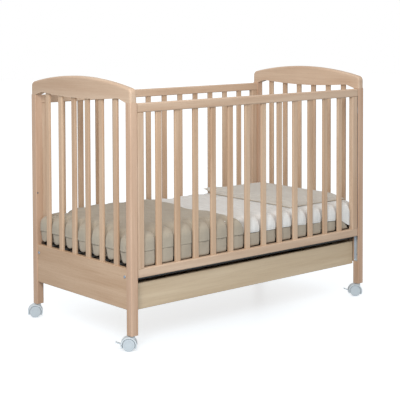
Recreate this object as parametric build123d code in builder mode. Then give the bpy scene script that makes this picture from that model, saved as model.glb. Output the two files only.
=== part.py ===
from build123d import *
import math
import os

# Baby crib with a drop side, a drawer under the base and swivel casters.
# Millimetres. +X runs to the head end, +Y to the back, +Z up; the front, with
# the drop side and the drawer, faces -Y. The origin is on the floor, midway
# between the four posts.

# ---------------------------------------------------------------- overall
length = 1250.0             # over the posts, foot to head
width = 652.0               # over the posts, front to back
post_top = 895.0            # joint between the posts and the curved end rails
end_rail_top = 979.5        # crown of the curved end rails

# ---------------------------------------------------------------- posts
post_w = 31.0               # along X
post_d = 31.0               # along Y
post_round = 4.0            # radius of the outer corner
soft_edge = 3.0             # radius of the other long edges

# ---------------------------------------------------------------- end rails
end_rail_side = 944.0       # height where the crown meets the outer sides
end_rail_corner = 20.0      # radius of those two corners
end_rail_nose = 9.0         # rounding of the top edges
end_rail_sag = 896.5        # underside at the middle
end_rail_shoulder = 908.0   # underside at the shoulders
shoulder_run = 44.0         # from a post to the shoulder, along Y
shoulder_round = 28.0       # blend between shoulder and bow

# ---------------------------------------------------------------- slats
slat_w = 25.0
slat_t = 11.0
slat_edge = 3.0
mortise_depth = 12.0
mortise_clear = 0.1         # all round a slat in its mortise
side_slats = 12
side_pitch = 88.6
end_slats = 6
end_pitch = 88.8
end_slat_mortise_top = 920.0

# ---------------------------------------------------------------- end boards
board_t = 18.0
board_bottom = 146.0
board_top = 297.0
board_inset = 3.5           # outer face behind the posts' outer faces
board_edge = 2.5

# ---------------------------------------------------------------- sides
side_t = 24.0               # rails and stiles, along Y
side_inset = 3.0            # face behind the posts' faces
side_top = 892.0            # top of both sides
top_rail_h = 33.0
bottom_rail_low = 261.0     # underside of the bottom rails
bottom_rail_h = 33.5
rail_edge = 4.5
stile_w = 30.6
side_end_gap = 2.6          # drop side to post, each end

# ---------------------------------------------------------------- drop side guides
track_w = 20.0              # along Y
track_depth = 8.0           # let into the post
track_wall = 1.5
track_top = 876.0
track_end_wall = 4.0
runner_h = 28.0
runner_clear = 0.5          # each side of a runner in its track
runner_tip_clear = 0.7
runner_peg_r = 4.0
runner_peg_depth = 10.0
peg_clear = 0.02
upper_runner_z = 800.0
drop_travel = 108.0
stop_clear = 0.5            # runner to track end when the side is down
catch_slot_w = 4.0
catch_slot_h = 17.0
catch_slot_z = 198.0
screw_head_r = 3.6
screw_shank_r = 1.8
screw_len = 14.0
screw_zs = (179.0, 520.0, 850.0)

# ---------------------------------------------------------------- base
base_top = 306.0
base_rail_t = 22.0          # along Y
base_rail_h = 59.0
base_rail_gap = 1.0         # rail to the posts' inner faces
base_wall = 2.0
base_plate = 6.0            # closed ends that take the bolts
base_tube_r = 14.0
base_tube_inset = 20.0      # tube axis from the end board
bolt_z = 265.0
bolt_r = 3.0
bolt_head_r = 5.5
bolt_head_h = 2.8
bolt_len = 30.0
bolt_clear = 0.1
deck_slat_w = 60.0
deck_slat_t = 10.0
deck_slats_n = 10
deck_pitch = 112.0
deck_below = 1.0            # slat tops under the frame's top
deck_cap_len = 14.0
deck_cap_wall = 3.0
cap_clear = 0.2
insert_z = 502.0            # upper place for the base
insert_x = 7.0              # from the post's outer face
insert_r = 3.5
insert_depth = 12.0
insert_bore_r = 1.8

# ---------------------------------------------------------------- dowels
dowel_r = 5.0
dowel_in_post = 14.0
dowel_in_rail = 26.0
peg_r = 4.0
peg_in_post = 12.0
peg_in_board = 22.0
board_peg_zs = (176.0, 236.0)

# ---------------------------------------------------------------- drawer
drawer_bottom_z = 139.0
drawer_top_z = 235.5
drawer_front_t = 16.0
drawer_end_gap = 3.0        # front to the posts, each end
drawer_behind = 4.0         # front's face behind the drop side
drawer_side_t = 12.0
drawer_box_low = 152.0
drawer_box_top = 222.0
drawer_depth = 554.0        # box behind the front
drawer_panel_t = 4.0
drawer_panel_z = 158.0
drawer_groove = 5.0
groove_clear = 0.1
drawer_track_h = 30.0
drawer_track_z = 170.0
drawer_track_depth = 18.0
drawer_track_wall = 1.5
drawer_track_gap = 3.0      # behind the drawer front
slide_clear = 0.3
slide_depth = 10.5
drawer_box_gap = 2.5        # box side to its track
drawer_travel = 400.0
drawer_slide_short = 5.0    # runner ends before the box does

# ---------------------------------------------------------------- casters
caster_angles = {           # each caster's heading, degrees from +X
    "front_left": -40.7,
    "front_right": -40.7,
    "rear_left": -32.0,
    "rear_right": 150.0,
}
wheel_r = 22.5
wheel_t = 12.4
wheel_gap = 3.6             # wheel to the hood's middle
wheel_edge = 2.0
hub_r = 14.0
hub_step = 0.8
trail = 13.0                # stem axis to axle
axle_r = 3.0
axle_clear = 0.05
axle_fit = 0.02
hood_gap = 2.0              # tread to hood
hood_wall = 5.0
hood_head = 4.0             # hood's crown to the leg
hood_side = 1.0             # hood past the wheel's outer face
hood_web_half = 3.0
hood_from = -28.0           # degrees round the axle
hood_to = 200.0
boss_r = 9.0
boss_foot = 11.5            # boss's foot above the axle
boss_gap = 0.3              # turning clearance under the leg
stem_r = 4.0
stem_fit = 0.05
stem_in_boss = 9.0
stem_up = 28.0              # into the leg
socket_r = 5.6
socket_len = 32.0
brake_at_deg = 178.0        # pivot round the axle, in the hood's wall
brake_rise_deg = 21.0       # lever's slope, up to its tip
brake_pin_r = 1.5
brake_pin_half = 10.0
brake_eye_r = 3.4
brake_half = 5.5
brake_slot_half = 6.0
brake_slot_r = 4.6
brake_reach = 20.5
brake_thick = 3.6
brake_tip_r = 2.6

# ---------------------------------------------------------------- bedding
soft_clear = 0.3
mattress_t = 99.7
mattress_end_gap = 6.5      # to the end boards
mattress_side_gap = 2.0     # to the planes of the posts
mattress_round = 14.0
hem_z = 352.0
duvet_t = 19.7
duvet_edge_x = -100.0       # turned edge, across the bed
duvet_hang_t = 4.0
duvet_foot_t = 3.4
duvet_foot_half = 288.0
duvet_post_gap = 1.0
sheet_t = 2.2
sheet_hang_t = 3.0
pillow_len = 340.0
pillow_half = 275.0
pillow_shift = 13.0         # towards the back
pillow_t = 27.0
pillow_end_gap = 10.0
pillow_round = 11.0

# ---------------------------------------------------------------- derived places
hood_in_r = wheel_r + hood_gap
hood_out_r = hood_in_r + hood_wall
hood_half = wheel_gap + wheel_t + hood_side
leg_bottom = wheel_r + hood_out_r + hood_head   # underside of the posts
boss_low = wheel_r + boss_foot
stem_bottom = leg_bottom - stem_in_boss
brake_at_r = hood_in_r + hood_wall / 2
half_l = length / 2
half_w = width / 2
bay_x = half_l - post_w                     # posts' inner faces, along X
bay_y = half_w - post_d                     # posts' inner faces, along Y
post_x = half_l - post_w / 2                # post centres
post_y = half_w - post_d / 2
side_y = half_w - side_inset - side_t / 2   # centre plane of a side
board_out = half_l - board_inset
board_in = board_out - board_t
end_mid = board_out - board_t / 2           # centre plane of boards and end slats
bottom_rail_top = bottom_rail_low + bottom_rail_h
top_rail_low = side_top - top_rail_h
drop_half = bay_x - side_end_gap
lower_runner_z = bottom_rail_low + bottom_rail_h / 2
track_bottom = lower_runner_z - runner_h / 2 - drop_travel - stop_clear - track_end_wall
base_y = bay_y - base_rail_gap - base_rail_t / 2
base_in_y = base_y - base_rail_t / 2
base_tube_x = board_in - base_tube_inset
mattress_x = board_in - mattress_end_gap
mattress_y = bay_y - mattress_side_gap
mattress_low = base_top + soft_clear
mattress_top = mattress_low + mattress_t
drawer_face_y = side_y - side_t / 2 - drawer_behind
drawer_back_y = drawer_face_y - drawer_front_t
drawer_box_x = board_in - drawer_track_depth - drawer_box_gap
lay = mattress_top + soft_clear             # underside of the covers
hang_in = mattress_y + soft_clear           # inside of their hanging edges
rear_peg_zs = (lower_runner_z, side_top - top_rail_h / 2)
stem_top = leg_bottom + stem_up

os.makedirs("parts", exist_ok=True)

ends = {"left": -1, "right": 1}
flanks = {"front": -1, "rear": 1}


def save(piece, label):
    """Label a finished piece and write it as a STEP file."""
    piece.part.label = label
    export_step(piece.part, f"parts/{label}.step")


def facing_x(x):
    """Plane at x whose sketches read (y, z) and grow towards +X."""
    return Plane(origin=(x, 0, 0), x_dir=(0, 1, 0), z_dir=(1, 0, 0))


def facing_y(y):
    """Plane at y whose sketches read (x, z) and grow towards -Y."""
    return Plane(origin=(0, y, 0), x_dir=(1, 0, 0), z_dir=(0, -1, 0))


def level(z):
    """Horizontal plane at height z."""
    return Plane.XY.offset(z)


def spread(count, pitch):
    """Evenly pitched places, centred on zero."""
    return [(i - (count - 1) / 2) * pitch for i in range(count)]


side_slat_xs = spread(side_slats, side_pitch)
end_slat_ys = spread(end_slats, end_pitch)
deck_slat_xs = spread(deck_slats_n, deck_pitch)


# ---------------------------------------------------------------- posts
def make_post(flank, end):
    """A square post with one round outer corner and its joinery bores."""
    sx = ends[end]
    sy = flanks[flank]
    x = sx * post_x
    y = sy * post_y
    with BuildPart() as post:
        with BuildSketch(level(leg_bottom)):
            with Locations((x, y)):
                Rectangle(post_w, post_d)
            inward = sorted(vertices(), key=lambda v: sx * v.X + sy * v.Y)
            fillet(inward[:3], soft_edge)
            outer = sorted(vertices(), key=lambda v: sx * v.X + sy * v.Y)[-1]
            fillet(outer, post_round)
        extrude(amount=post_top - leg_bottom)
        # caster socket from below, end rail dowel from above
        with BuildSketch(level(leg_bottom)):
            with Locations((x, y)):
                Circle(socket_r)
        extrude(amount=socket_len, mode=Mode.SUBTRACT)
        with BuildSketch(level(post_top - dowel_in_post)):
            with Locations((x, y)):
                Circle(dowel_r)
        extrude(amount=dowel_in_post, mode=Mode.SUBTRACT)
        # end board pegs and the threaded insert, from the face that looks across the bed
        with BuildSketch(facing_y(sy * bay_y)):
            with Locations(*[(sx * end_mid, z) for z in board_peg_zs]):
                Circle(peg_r)
        extrude(amount=-sy * peg_in_post, mode=Mode.SUBTRACT)
        with BuildSketch(facing_y(sy * bay_y)):
            with Locations((sx * (half_l - insert_x), insert_z)):
                Circle(insert_r)
        extrude(amount=-sy * insert_depth, mode=Mode.SUBTRACT)
        if flank == "front":
            # groove and screw holes for the guide track
            with BuildSketch(facing_x(sx * bay_x)):
                with Locations((-side_y, (track_bottom + track_top) / 2)):
                    Rectangle(track_w, track_top - track_bottom)
            extrude(amount=sx * track_depth, mode=Mode.SUBTRACT)
            with BuildSketch(facing_x(sx * (bay_x + track_depth))):
                with Locations(*[(-side_y, z) for z in screw_zs]):
                    Circle(screw_shank_r)
            extrude(amount=sx * (screw_len - track_wall), mode=Mode.SUBTRACT)
        else:
            # pegs of the fixed side
            with BuildSketch(facing_x(sx * bay_x)):
                with Locations(*[(side_y, z) for z in rear_peg_zs]):
                    Circle(peg_r)
            extrude(amount=sx * peg_in_post, mode=Mode.SUBTRACT)
    save(post, f"post_{flank}_{end}")


for flank in flanks:
    for end in ends:
        make_post(flank, end)


# ---------------------------------------------------------------- ends
def end_mouths(sx, z):
    """Outlines, at height z, of the pockets that take one end's slats."""
    with BuildSketch(level(z)) as mouths:
        with Locations(*[(sx * end_mid, y) for y in end_slat_ys]):
            RectangleRounded(
                slat_t + 2 * mortise_clear,
                slat_w + 2 * mortise_clear,
                slat_edge + mortise_clear,
            )
    return mouths.sketch


for end, sx in ends.items():
    rail_mouths = end_mouths(sx, post_top)
    board_mouths = end_mouths(sx, board_top - mortise_depth)

    # curved rail: crowned top, shouldered and gently bowed underside
    with BuildPart() as end_rail:
        with BuildSketch(facing_x(sx * bay_x)):
            with BuildLine():
                crown = ThreePointArc(
                    (-half_w, end_rail_side), (0, end_rail_top), (half_w, end_rail_side)
                )
                Polyline((half_w, end_rail_side), (half_w, post_top), (bay_y, post_top))
                Line((bay_y, post_top), (bay_y - shoulder_run, end_rail_shoulder))
                ThreePointArc(
                    (bay_y - shoulder_run, end_rail_shoulder),
                    (0, end_rail_sag),
                    (shoulder_run - bay_y, end_rail_shoulder),
                )
                Line((shoulder_run - bay_y, end_rail_shoulder), (-bay_y, post_top))
                Polyline((-bay_y, post_top), (-half_w, post_top), (-half_w, end_rail_side))
            make_face()
            tips = [v for v in vertices() if abs(v.Y - end_rail_side) < 1]
            fillet(tips, end_rail_corner)
            shoulders = [v for v in vertices() if abs(v.Y - end_rail_shoulder) < 1]
            fillet(shoulders, shoulder_round)
        extrude(amount=sx * post_w)
        high = post_top + (end_rail_side - post_top) / 2
        faces_x = (bay_x, half_l)
        nose = [e for e in edges() if e.center().Z > high and round(abs(e.center().X), 3) in faces_x]
        fillet(nose, end_rail_nose)
        extrude(rail_mouths, amount=end_slat_mortise_top - post_top, mode=Mode.SUBTRACT)
        with BuildSketch(level(post_top)):
            with Locations((sx * post_x, -post_y), (sx * post_x, post_y)):
                Circle(dowel_r)
        extrude(amount=dowel_in_rail, mode=Mode.SUBTRACT)
    save(end_rail, f"end_rail_{end}")

    # deep lower board between the posts
    with BuildPart() as end_board:
        with BuildSketch(facing_y(bay_y)):
            with Locations((sx * end_mid, (board_bottom + board_top) / 2)):
                RectangleRounded(board_t, board_top - board_bottom, board_edge)
        extrude(amount=2 * bay_y)
        extrude(board_mouths, amount=mortise_depth, mode=Mode.SUBTRACT)
        with BuildSketch(facing_x(sx * board_in)):
            with Locations((-base_y, bolt_z), (base_y, bolt_z)):
                Circle(bolt_r + bolt_clear)
        extrude(amount=sx * board_t, mode=Mode.SUBTRACT)
        for sy in flanks.values():
            with BuildSketch(facing_y(sy * bay_y)):
                with Locations(*[(sx * end_mid, z) for z in board_peg_zs]):
                    Circle(peg_r)
            extrude(amount=sy * peg_in_board, mode=Mode.SUBTRACT)
    save(end_board, f"end_board_{end}")

    # slats between board and rail
    with BuildPart() as slats:
        with BuildSketch(level(board_top - mortise_depth)):
            with Locations(*[(sx * end_mid, y) for y in end_slat_ys]):
                RectangleRounded(slat_t, slat_w, slat_edge)
        extrude(amount=end_slat_mortise_top - board_top + mortise_depth)
    save(slats, f"end_slats_{end}")


# ---------------------------------------------------------------- the two sides
def make_side(name, sy, half, runners):
    """Top rail, bottom rail, two stiles and a row of slats in one plane."""
    y = sy * side_y
    mouths = [(x, y) for x in side_slat_xs]

    def rail(low, high, mortise_low, label, peg_z):
        with BuildPart() as bar:
            with BuildSketch(facing_x(-half)):
                with Locations((y, (low + high) / 2)):
                    RectangleRounded(side_t, high - low, rail_edge)
            extrude(amount=2 * half)
            with BuildSketch(level(mortise_low)):
                with Locations(*mouths):
                    RectangleRounded(
                        slat_w + 2 * mortise_clear,
                        slat_t + 2 * mortise_clear,
                        slat_edge + mortise_clear,
                    )
            extrude(amount=mortise_depth, mode=Mode.SUBTRACT)
            if peg_z:
                bore = runner_peg_r + peg_clear if runners else peg_r
                depth = runner_peg_depth if runners else peg_in_board
                for sx in ends.values():
                    with BuildSketch(facing_x(sx * half)):
                        with Locations((y, peg_z)):
                            Circle(bore)
                    extrude(amount=-sx * depth, mode=Mode.SUBTRACT)
        save(bar, label)

    top_peg = 0 if runners else side_top - top_rail_h / 2
    rail(top_rail_low, side_top, top_rail_low, f"{name}_top_rail", top_peg)
    rail(bottom_rail_low, bottom_rail_top, bottom_rail_top - mortise_depth,
         f"{name}_bottom_rail", lower_runner_z)

    for end, sx in ends.items():
        with BuildPart() as stile:
            with BuildSketch(level(bottom_rail_top)):
                with Locations((sx * (half - stile_w / 2), y)):
                    RectangleRounded(stile_w, side_t, rail_edge)
            extrude(amount=top_rail_low - bottom_rail_top)
            if runners:
                with BuildSketch(facing_x(sx * half)):
                    with Locations((y, upper_runner_z)):
                        Circle(runner_peg_r + peg_clear)
                extrude(amount=-sx * runner_peg_depth, mode=Mode.SUBTRACT)
        save(stile, f"{name}_stile_{end}")

    with BuildPart() as row:
        with BuildSketch(level(bottom_rail_top - mortise_depth)):
            with Locations(*mouths):
                RectangleRounded(slat_w, slat_t, slat_edge)
        extrude(amount=top_rail_low - bottom_rail_top + 2 * mortise_depth)
    save(row, f"{name}_slats")


make_side("drop_side", -1, drop_half, True)
make_side("rear_side", 1, bay_x, False)

# ---------------------------------------------------------------- drop side guides
# Each track is a channel with a closed lower end; the runners ride inside it.
inner_w = track_w - 2 * track_wall
for end, sx in ends.items():
    with BuildPart() as track:
        with BuildSketch(facing_x(sx * bay_x)):
            with Locations((-side_y, (track_bottom + track_top) / 2)):
                Rectangle(track_w, track_top - track_bottom)
        extrude(amount=sx * track_depth)
        pocket_low = track_bottom + track_end_wall
        with BuildSketch(facing_x(sx * bay_x)):
            with Locations((-side_y, (pocket_low + track_top) / 2)):
                Rectangle(inner_w, track_top - pocket_low)
        extrude(amount=sx * (track_depth - track_wall), mode=Mode.SUBTRACT)
        with BuildSketch(facing_x(sx * bay_x)):
            with Locations((-side_y - track_w / 5, catch_slot_z)):
                SlotOverall(catch_slot_h, catch_slot_w, rotation=90)
        extrude(amount=sx * track_depth, mode=Mode.SUBTRACT)
        web = bay_x + track_depth - track_wall
        for z in screw_zs:
            with BuildSketch(facing_x(sx * web)):
                with Locations((-side_y, z)):
                    Circle(screw_head_r)
            with BuildSketch(facing_x(sx * (web + track_wall))):
                with Locations((-side_y, z)):
                    Circle(screw_shank_r)
            loft(mode=Mode.SUBTRACT)
    save(track, f"guide_track_{end}")

with BuildPart() as track_screws:
    for sx in ends.values():
        web = bay_x + track_depth - track_wall
        for z in screw_zs:
            with BuildSketch(facing_x(sx * web)):
                with Locations((-side_y, z)):
                    Circle(screw_head_r)
            with BuildSketch(facing_x(sx * (web + track_wall))):
                with Locations((-side_y, z)):
                    Circle(screw_shank_r)
            loft()
            with BuildSketch(facing_x(sx * (web + track_wall))):
                with Locations((-side_y, z)):
                    Circle(screw_shank_r)
            extrude(amount=sx * (screw_len - track_wall))
save(track_screws, "track_screws")

with BuildPart() as runners:
    for sx in ends.values():
        for z in (lower_runner_z, upper_runner_z):
            with BuildSketch(facing_x(sx * drop_half)):
                with Locations((-side_y, z)):
                    RectangleRounded(inner_w - 2 * runner_clear, runner_h, soft_edge)
            extrude(amount=sx * (side_end_gap + track_depth - track_wall - runner_tip_clear))
            with BuildSketch(facing_x(sx * drop_half)):
                with Locations((-side_y, z)):
                    Circle(runner_peg_r)
            extrude(amount=-sx * runner_peg_depth)
save(runners, "drop_side_runners")

# ---------------------------------------------------------------- base
# Welded steel: two hollow side rails with closed ends, and a tube at each end.
with BuildPart() as base_frame:
    for sy in flanks.values():
        with BuildSketch(facing_x(-board_in)):
            with Locations((sy * base_y, base_top - base_rail_h / 2)):
                RectangleRounded(base_rail_t, base_rail_h, soft_edge)
        extrude(amount=2 * board_in)
    for sx in ends.values():
        with BuildSketch(facing_y(base_in_y)):
            with Locations((sx * base_tube_x, base_top - base_tube_r)):
                Circle(base_tube_r)
        extrude(amount=2 * base_in_y)
    for sy in flanks.values():
        with BuildSketch(facing_x(base_plate - board_in)):
            with Locations((sy * base_y, base_top - base_rail_h / 2)):
                Rectangle(base_rail_t - 2 * base_wall, base_rail_h - 2 * base_wall)
        extrude(amount=2 * (board_in - base_plate), mode=Mode.SUBTRACT)
        with BuildSketch(facing_x(-board_in)):
            with Locations((sy * base_y, bolt_z)):
                Circle(bolt_r + bolt_clear)
        extrude(amount=2 * board_in, mode=Mode.SUBTRACT)
save(base_frame, "base_frame")

deck_top = base_top - deck_below
with BuildPart() as deck_slats:
    with BuildSketch(level(deck_top - deck_slat_t)):
        with Locations(*[(x, 0) for x in deck_slat_xs]):
            RectangleRounded(deck_slat_w, 2 * (base_in_y - deck_cap_wall), soft_edge)
    extrude(amount=deck_slat_t)
save(deck_slats, "deck_slats")

# Each cap is a pocket on the rail's inner face that holds one slat end.
cap_w = deck_slat_w + 2 * (deck_cap_wall + cap_clear)
with BuildPart() as deck_caps:
    for sy in flanks.values():
        with BuildSketch(facing_y(sy * base_in_y)):
            with Locations(*[(x, deck_top - deck_slat_t - deck_cap_wall / 2) for x in deck_slat_xs]):
                Rectangle(cap_w, deck_cap_wall)
        extrude(amount=sy * deck_cap_len)
        with BuildSketch(facing_y(sy * base_in_y)):
            with Locations(*[(x, deck_top - deck_slat_t / 2) for x in deck_slat_xs]):
                Rectangle(cap_w, deck_slat_t)
        extrude(amount=sy * deck_cap_len)
        with BuildSketch(facing_y(sy * (base_in_y - deck_cap_wall))):
            with Locations(*[(x, deck_top - deck_slat_t / 2) for x in deck_slat_xs]):
                Rectangle(deck_slat_w + 2 * cap_clear, deck_slat_t)
        extrude(amount=sy * deck_cap_len, mode=Mode.SUBTRACT)
save(deck_caps, "deck_slat_caps")

with BuildPart() as base_bolts:
    for sx in ends.values():
        for sy in flanks.values():
            with BuildSketch(facing_x(sx * board_out)):
                with Locations((sy * base_y, bolt_z)):
                    Circle(bolt_head_r)
            extrude(amount=sx * bolt_head_h)
            with BuildSketch(facing_x(sx * board_out)):
                with Locations((sy * base_y, bolt_z)):
                    Circle(bolt_r)
            extrude(amount=-sx * bolt_len)
    domes = edges().filter_by(GeomType.CIRCLE)
    rim = [e for e in domes if abs(abs(e.center().X) - board_out - bolt_head_h) < 0.01]
    fillet(rim, bolt_head_h / 2)
save(base_bolts, "base_bolts")

# Threaded inserts for the upper place of the base.
with BuildPart() as height_inserts:
    for sx in ends.values():
        for sy in flanks.values():
            with BuildSketch(facing_y(sy * bay_y)):
                with Locations((sx * (half_l - insert_x), insert_z)):
                    Circle(insert_r)
                    Circle(insert_bore_r, mode=Mode.SUBTRACT)
            extrude(amount=-sy * insert_depth)
save(height_inserts, "height_inserts")

with BuildPart() as dowels:
    for sx in ends.values():
        for sy in flanks.values():
            with BuildSketch(level(post_top - dowel_in_post)):
                with Locations((sx * post_x, sy * post_y)):
                    Circle(dowel_r)
            extrude(amount=dowel_in_post + dowel_in_rail)
            with BuildSketch(facing_y(sy * (bay_y + peg_in_post))):
                with Locations(*[(sx * end_mid, z) for z in board_peg_zs]):
                    Circle(peg_r)
            extrude(amount=sy * (peg_in_post + peg_in_board))
        with BuildSketch(facing_x(sx * (bay_x + peg_in_post))):
            with Locations(*[(side_y, z) for z in rear_peg_zs]):
                Circle(peg_r)
        extrude(amount=-sx * (peg_in_post + peg_in_board))
save(dowels, "dowels")

# ---------------------------------------------------------------- drawer
drawer_mid_y = -drawer_back_y + drawer_depth / 2
panel_x = drawer_box_x - drawer_side_t + drawer_groove
with BuildPart() as drawer_front:
    with BuildSketch(facing_x(drawer_end_gap - bay_x)):
        with Locations((-drawer_face_y + drawer_front_t / 2, (drawer_bottom_z + drawer_top_z) / 2)):
            RectangleRounded(drawer_front_t, drawer_top_z - drawer_bottom_z, soft_edge)
    extrude(amount=2 * (bay_x - drawer_end_gap))
    with BuildSketch(level(drawer_panel_z - groove_clear)):
        with Locations((0, -drawer_back_y - drawer_groove / 2)):
            Rectangle(2 * (panel_x + groove_clear), drawer_groove)
    extrude(amount=drawer_panel_t + 2 * groove_clear, mode=Mode.SUBTRACT)
save(drawer_front, "drawer_front")

for end, sx in ends.items():
    with BuildPart() as drawer_side:
        with BuildSketch(level(drawer_box_low)):
            with Locations((sx * (drawer_box_x - drawer_side_t / 2), drawer_mid_y)):
                Rectangle(drawer_side_t, drawer_depth)
        extrude(amount=drawer_box_top - drawer_box_low)
        with BuildSketch(level(drawer_panel_z - groove_clear)):
            with Locations((sx * (panel_x - drawer_groove / 2), drawer_mid_y)):
                Rectangle(drawer_groove + 2 * groove_clear, drawer_depth)
        extrude(amount=drawer_panel_t + 2 * groove_clear, mode=Mode.SUBTRACT)
    save(drawer_side, f"drawer_side_{end}")

    with BuildPart() as drawer_runner:
        runner_z = drawer_track_z + drawer_track_h / 2
        runner_len = drawer_depth - drawer_slide_short
        with BuildSketch(level(drawer_track_z + drawer_track_wall + slide_clear)):
            with Locations((sx * (drawer_box_x + slide_depth / 2), -drawer_back_y + runner_len / 2)):
                Rectangle(slide_depth, runner_len)
        extrude(amount=drawer_track_h - 2 * (drawer_track_wall + slide_clear))
    save(drawer_runner, f"drawer_runner_{end}")

    with BuildPart() as drawer_track:
        track_y = -drawer_back_y + drawer_track_gap + drawer_depth / 2
        with BuildSketch(level(drawer_track_z)):
            with Locations((sx * (board_in - drawer_track_depth / 2), track_y)):
                Rectangle(drawer_track_depth, drawer_depth)
        extrude(amount=drawer_track_h)
        with BuildSketch(level(drawer_track_z + drawer_track_wall)):
            with Locations((sx * (board_in - drawer_track_depth / 2 - drawer_track_wall), track_y)):
                Rectangle(drawer_track_depth, drawer_depth)
        extrude(amount=drawer_track_h - 2 * drawer_track_wall, mode=Mode.SUBTRACT)
    save(drawer_track, f"drawer_track_{end}")

with BuildPart() as drawer_back:
    with BuildSketch(level(drawer_panel_z + drawer_panel_t)):
        with Locations((0, -drawer_back_y + drawer_depth - drawer_side_t / 2)):
            Rectangle(2 * (drawer_box_x - drawer_side_t), drawer_side_t)
    extrude(amount=drawer_box_top - drawer_panel_z - drawer_panel_t)
save(drawer_back, "drawer_back")

with BuildPart() as drawer_bottom:
    panel_len = drawer_depth + drawer_groove - groove_clear
    with BuildSketch(level(drawer_panel_z)):
        with Locations((0, -drawer_back_y - drawer_groove + groove_clear + panel_len / 2)):
            Rectangle(2 * panel_x, panel_len)
    extrude(amount=drawer_panel_t)
save(drawer_bottom, "drawer_bottom")


# ---------------------------------------------------------------- casters
def make_caster(flank, end, braked):
    """A twin-wheel caster: hood, wheels, steel pins and, if braked, a lever."""
    name = f"caster_{flank}_{end}"
    heading = math.radians(caster_angles[f"{flank}_{end}"])
    ahead = (math.cos(heading), math.sin(heading), 0)
    aside = (math.sin(heading), -math.cos(heading), 0)
    origin = (ends[end] * post_x, flanks[flank] * post_y, 0)
    upright = Plane(origin=origin, x_dir=ahead, z_dir=aside)
    flat = Plane(origin=origin, x_dir=ahead, z_dir=(0, 0, 1))
    pivot_angle = math.radians(brake_at_deg)
    pivot = (-trail + brake_at_r * math.cos(pivot_angle), wheel_r + brake_at_r * math.sin(pivot_angle))

    def arm(angle, radius):
        turn = math.radians(angle)
        return (-trail + radius * math.cos(turn), wheel_r + radius * math.sin(turn))

    mid = (hood_from + hood_to) / 2
    with BuildPart() as hood:
        # round body, open below a chord
        with BuildSketch(upright):
            with BuildLine():
                ThreePointArc(arm(hood_from, hood_out_r), arm(mid, hood_out_r), arm(hood_to, hood_out_r))
                Line(arm(hood_to, hood_out_r), arm(hood_from, hood_out_r))
            make_face()
        extrude(amount=hood_half, both=True)
        # boss that carries the stem
        with BuildSketch(flat.offset(boss_low)):
            Circle(boss_r)
        extrude(amount=leg_bottom - boss_gap - boss_low)
        # room for the wheels on both sides of the middle wall
        for side in (-1, 1):
            with BuildSketch(upright.offset(side * hood_web_half)):
                with Locations((-trail, wheel_r)):
                    Circle(hood_in_r)
            extrude(amount=side * hood_half, mode=Mode.SUBTRACT)
        with BuildSketch(flat.offset(stem_bottom)):
            Circle(stem_r + axle_fit)
        extrude(amount=leg_bottom, mode=Mode.SUBTRACT)
        with BuildSketch(upright):
            with Locations((-trail, wheel_r)):
                Circle(axle_r + axle_fit)
        extrude(amount=hood_half, both=True, mode=Mode.SUBTRACT)
        if braked:
            with BuildSketch(upright):
                with Locations(pivot):
                    Circle(brake_slot_r)
                with Locations((pivot[0] - brake_slot_r, pivot[1])):
                    Rectangle(2 * brake_slot_r, 2 * brake_slot_r)
            extrude(amount=brake_slot_half, both=True, mode=Mode.SUBTRACT)
            with BuildSketch(upright):
                with Locations(pivot):
                    Circle(brake_pin_r + axle_fit)
            extrude(amount=hood_half, both=True, mode=Mode.SUBTRACT)
    save(hood, f"{name}_hood")

    with BuildPart() as wheels:
        for side in (-1, 1):
            with BuildSketch(upright.offset(side * wheel_gap)):
                with Locations((-trail, wheel_r)):
                    Circle(wheel_r)
            extrude(amount=side * wheel_t)
        rims = [e for e in edges().filter_by(GeomType.CIRCLE) if abs(e.radius - wheel_r) < 0.01]
        fillet(rims, wheel_edge)
        for side in (-1, 1):
            with BuildSketch(upright.offset(side * (wheel_gap + wheel_t))):
                with Locations((-trail, wheel_r)):
                    Circle(hub_r + hub_step)
                    Circle(hub_r, mode=Mode.SUBTRACT)
            extrude(amount=-side * hub_step, mode=Mode.SUBTRACT)
        with BuildSketch(upright):
            with Locations((-trail, wheel_r)):
                Circle(axle_r + axle_clear)
        extrude(amount=wheel_gap + wheel_t - wheel_edge, both=True, mode=Mode.SUBTRACT)
    save(wheels, f"{name}_wheels")

    with BuildPart() as pins:
        with BuildSketch(flat.offset(stem_bottom)):
            Circle(stem_r)
        extrude(amount=stem_top - stem_bottom)
        with BuildSketch(upright):
            with Locations((-trail, wheel_r)):
                Circle(axle_r)
        extrude(amount=wheel_gap + wheel_t - 2 * wheel_edge, both=True)
        if braked:
            with BuildSketch(upright):
                with Locations(pivot):
                    Circle(brake_pin_r)
            extrude(amount=brake_pin_half, both=True)
    save(pins, f"{name}_pins")

    if braked:
        rise = math.radians(brake_rise_deg)
        tip = (pivot[0] - brake_reach * math.cos(rise), pivot[1] + brake_reach * math.sin(rise))
        with BuildPart() as brake:
            with BuildSketch(upright):
                with Locations(pivot):
                    Circle(brake_eye_r)
                with Locations(((pivot[0] + tip[0]) / 2, (pivot[1] + tip[1]) / 2)):
                    Rectangle(brake_reach, brake_thick, rotation=-brake_rise_deg)
                with Locations(tip):
                    Circle(brake_tip_r)
                with Locations(pivot):
                    Circle(brake_pin_r + axle_clear, mode=Mode.SUBTRACT)
            extrude(amount=brake_half, both=True)
        save(brake, f"{name}_brake")


for flank in flanks:
    for end in ends:
        make_caster(flank, end, flank == "front")

# Plastic sleeves in the legs, in which the stems turn.
with BuildPart() as caster_sockets:
    for sx in ends.values():
        for sy in flanks.values():
            with BuildSketch(level(leg_bottom)):
                with Locations((sx * post_x, sy * post_y)):
                    Circle(socket_r)
                    Circle(stem_r + stem_fit, mode=Mode.SUBTRACT)
            extrude(amount=socket_len)
save(caster_sockets, "caster_sockets")

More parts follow.
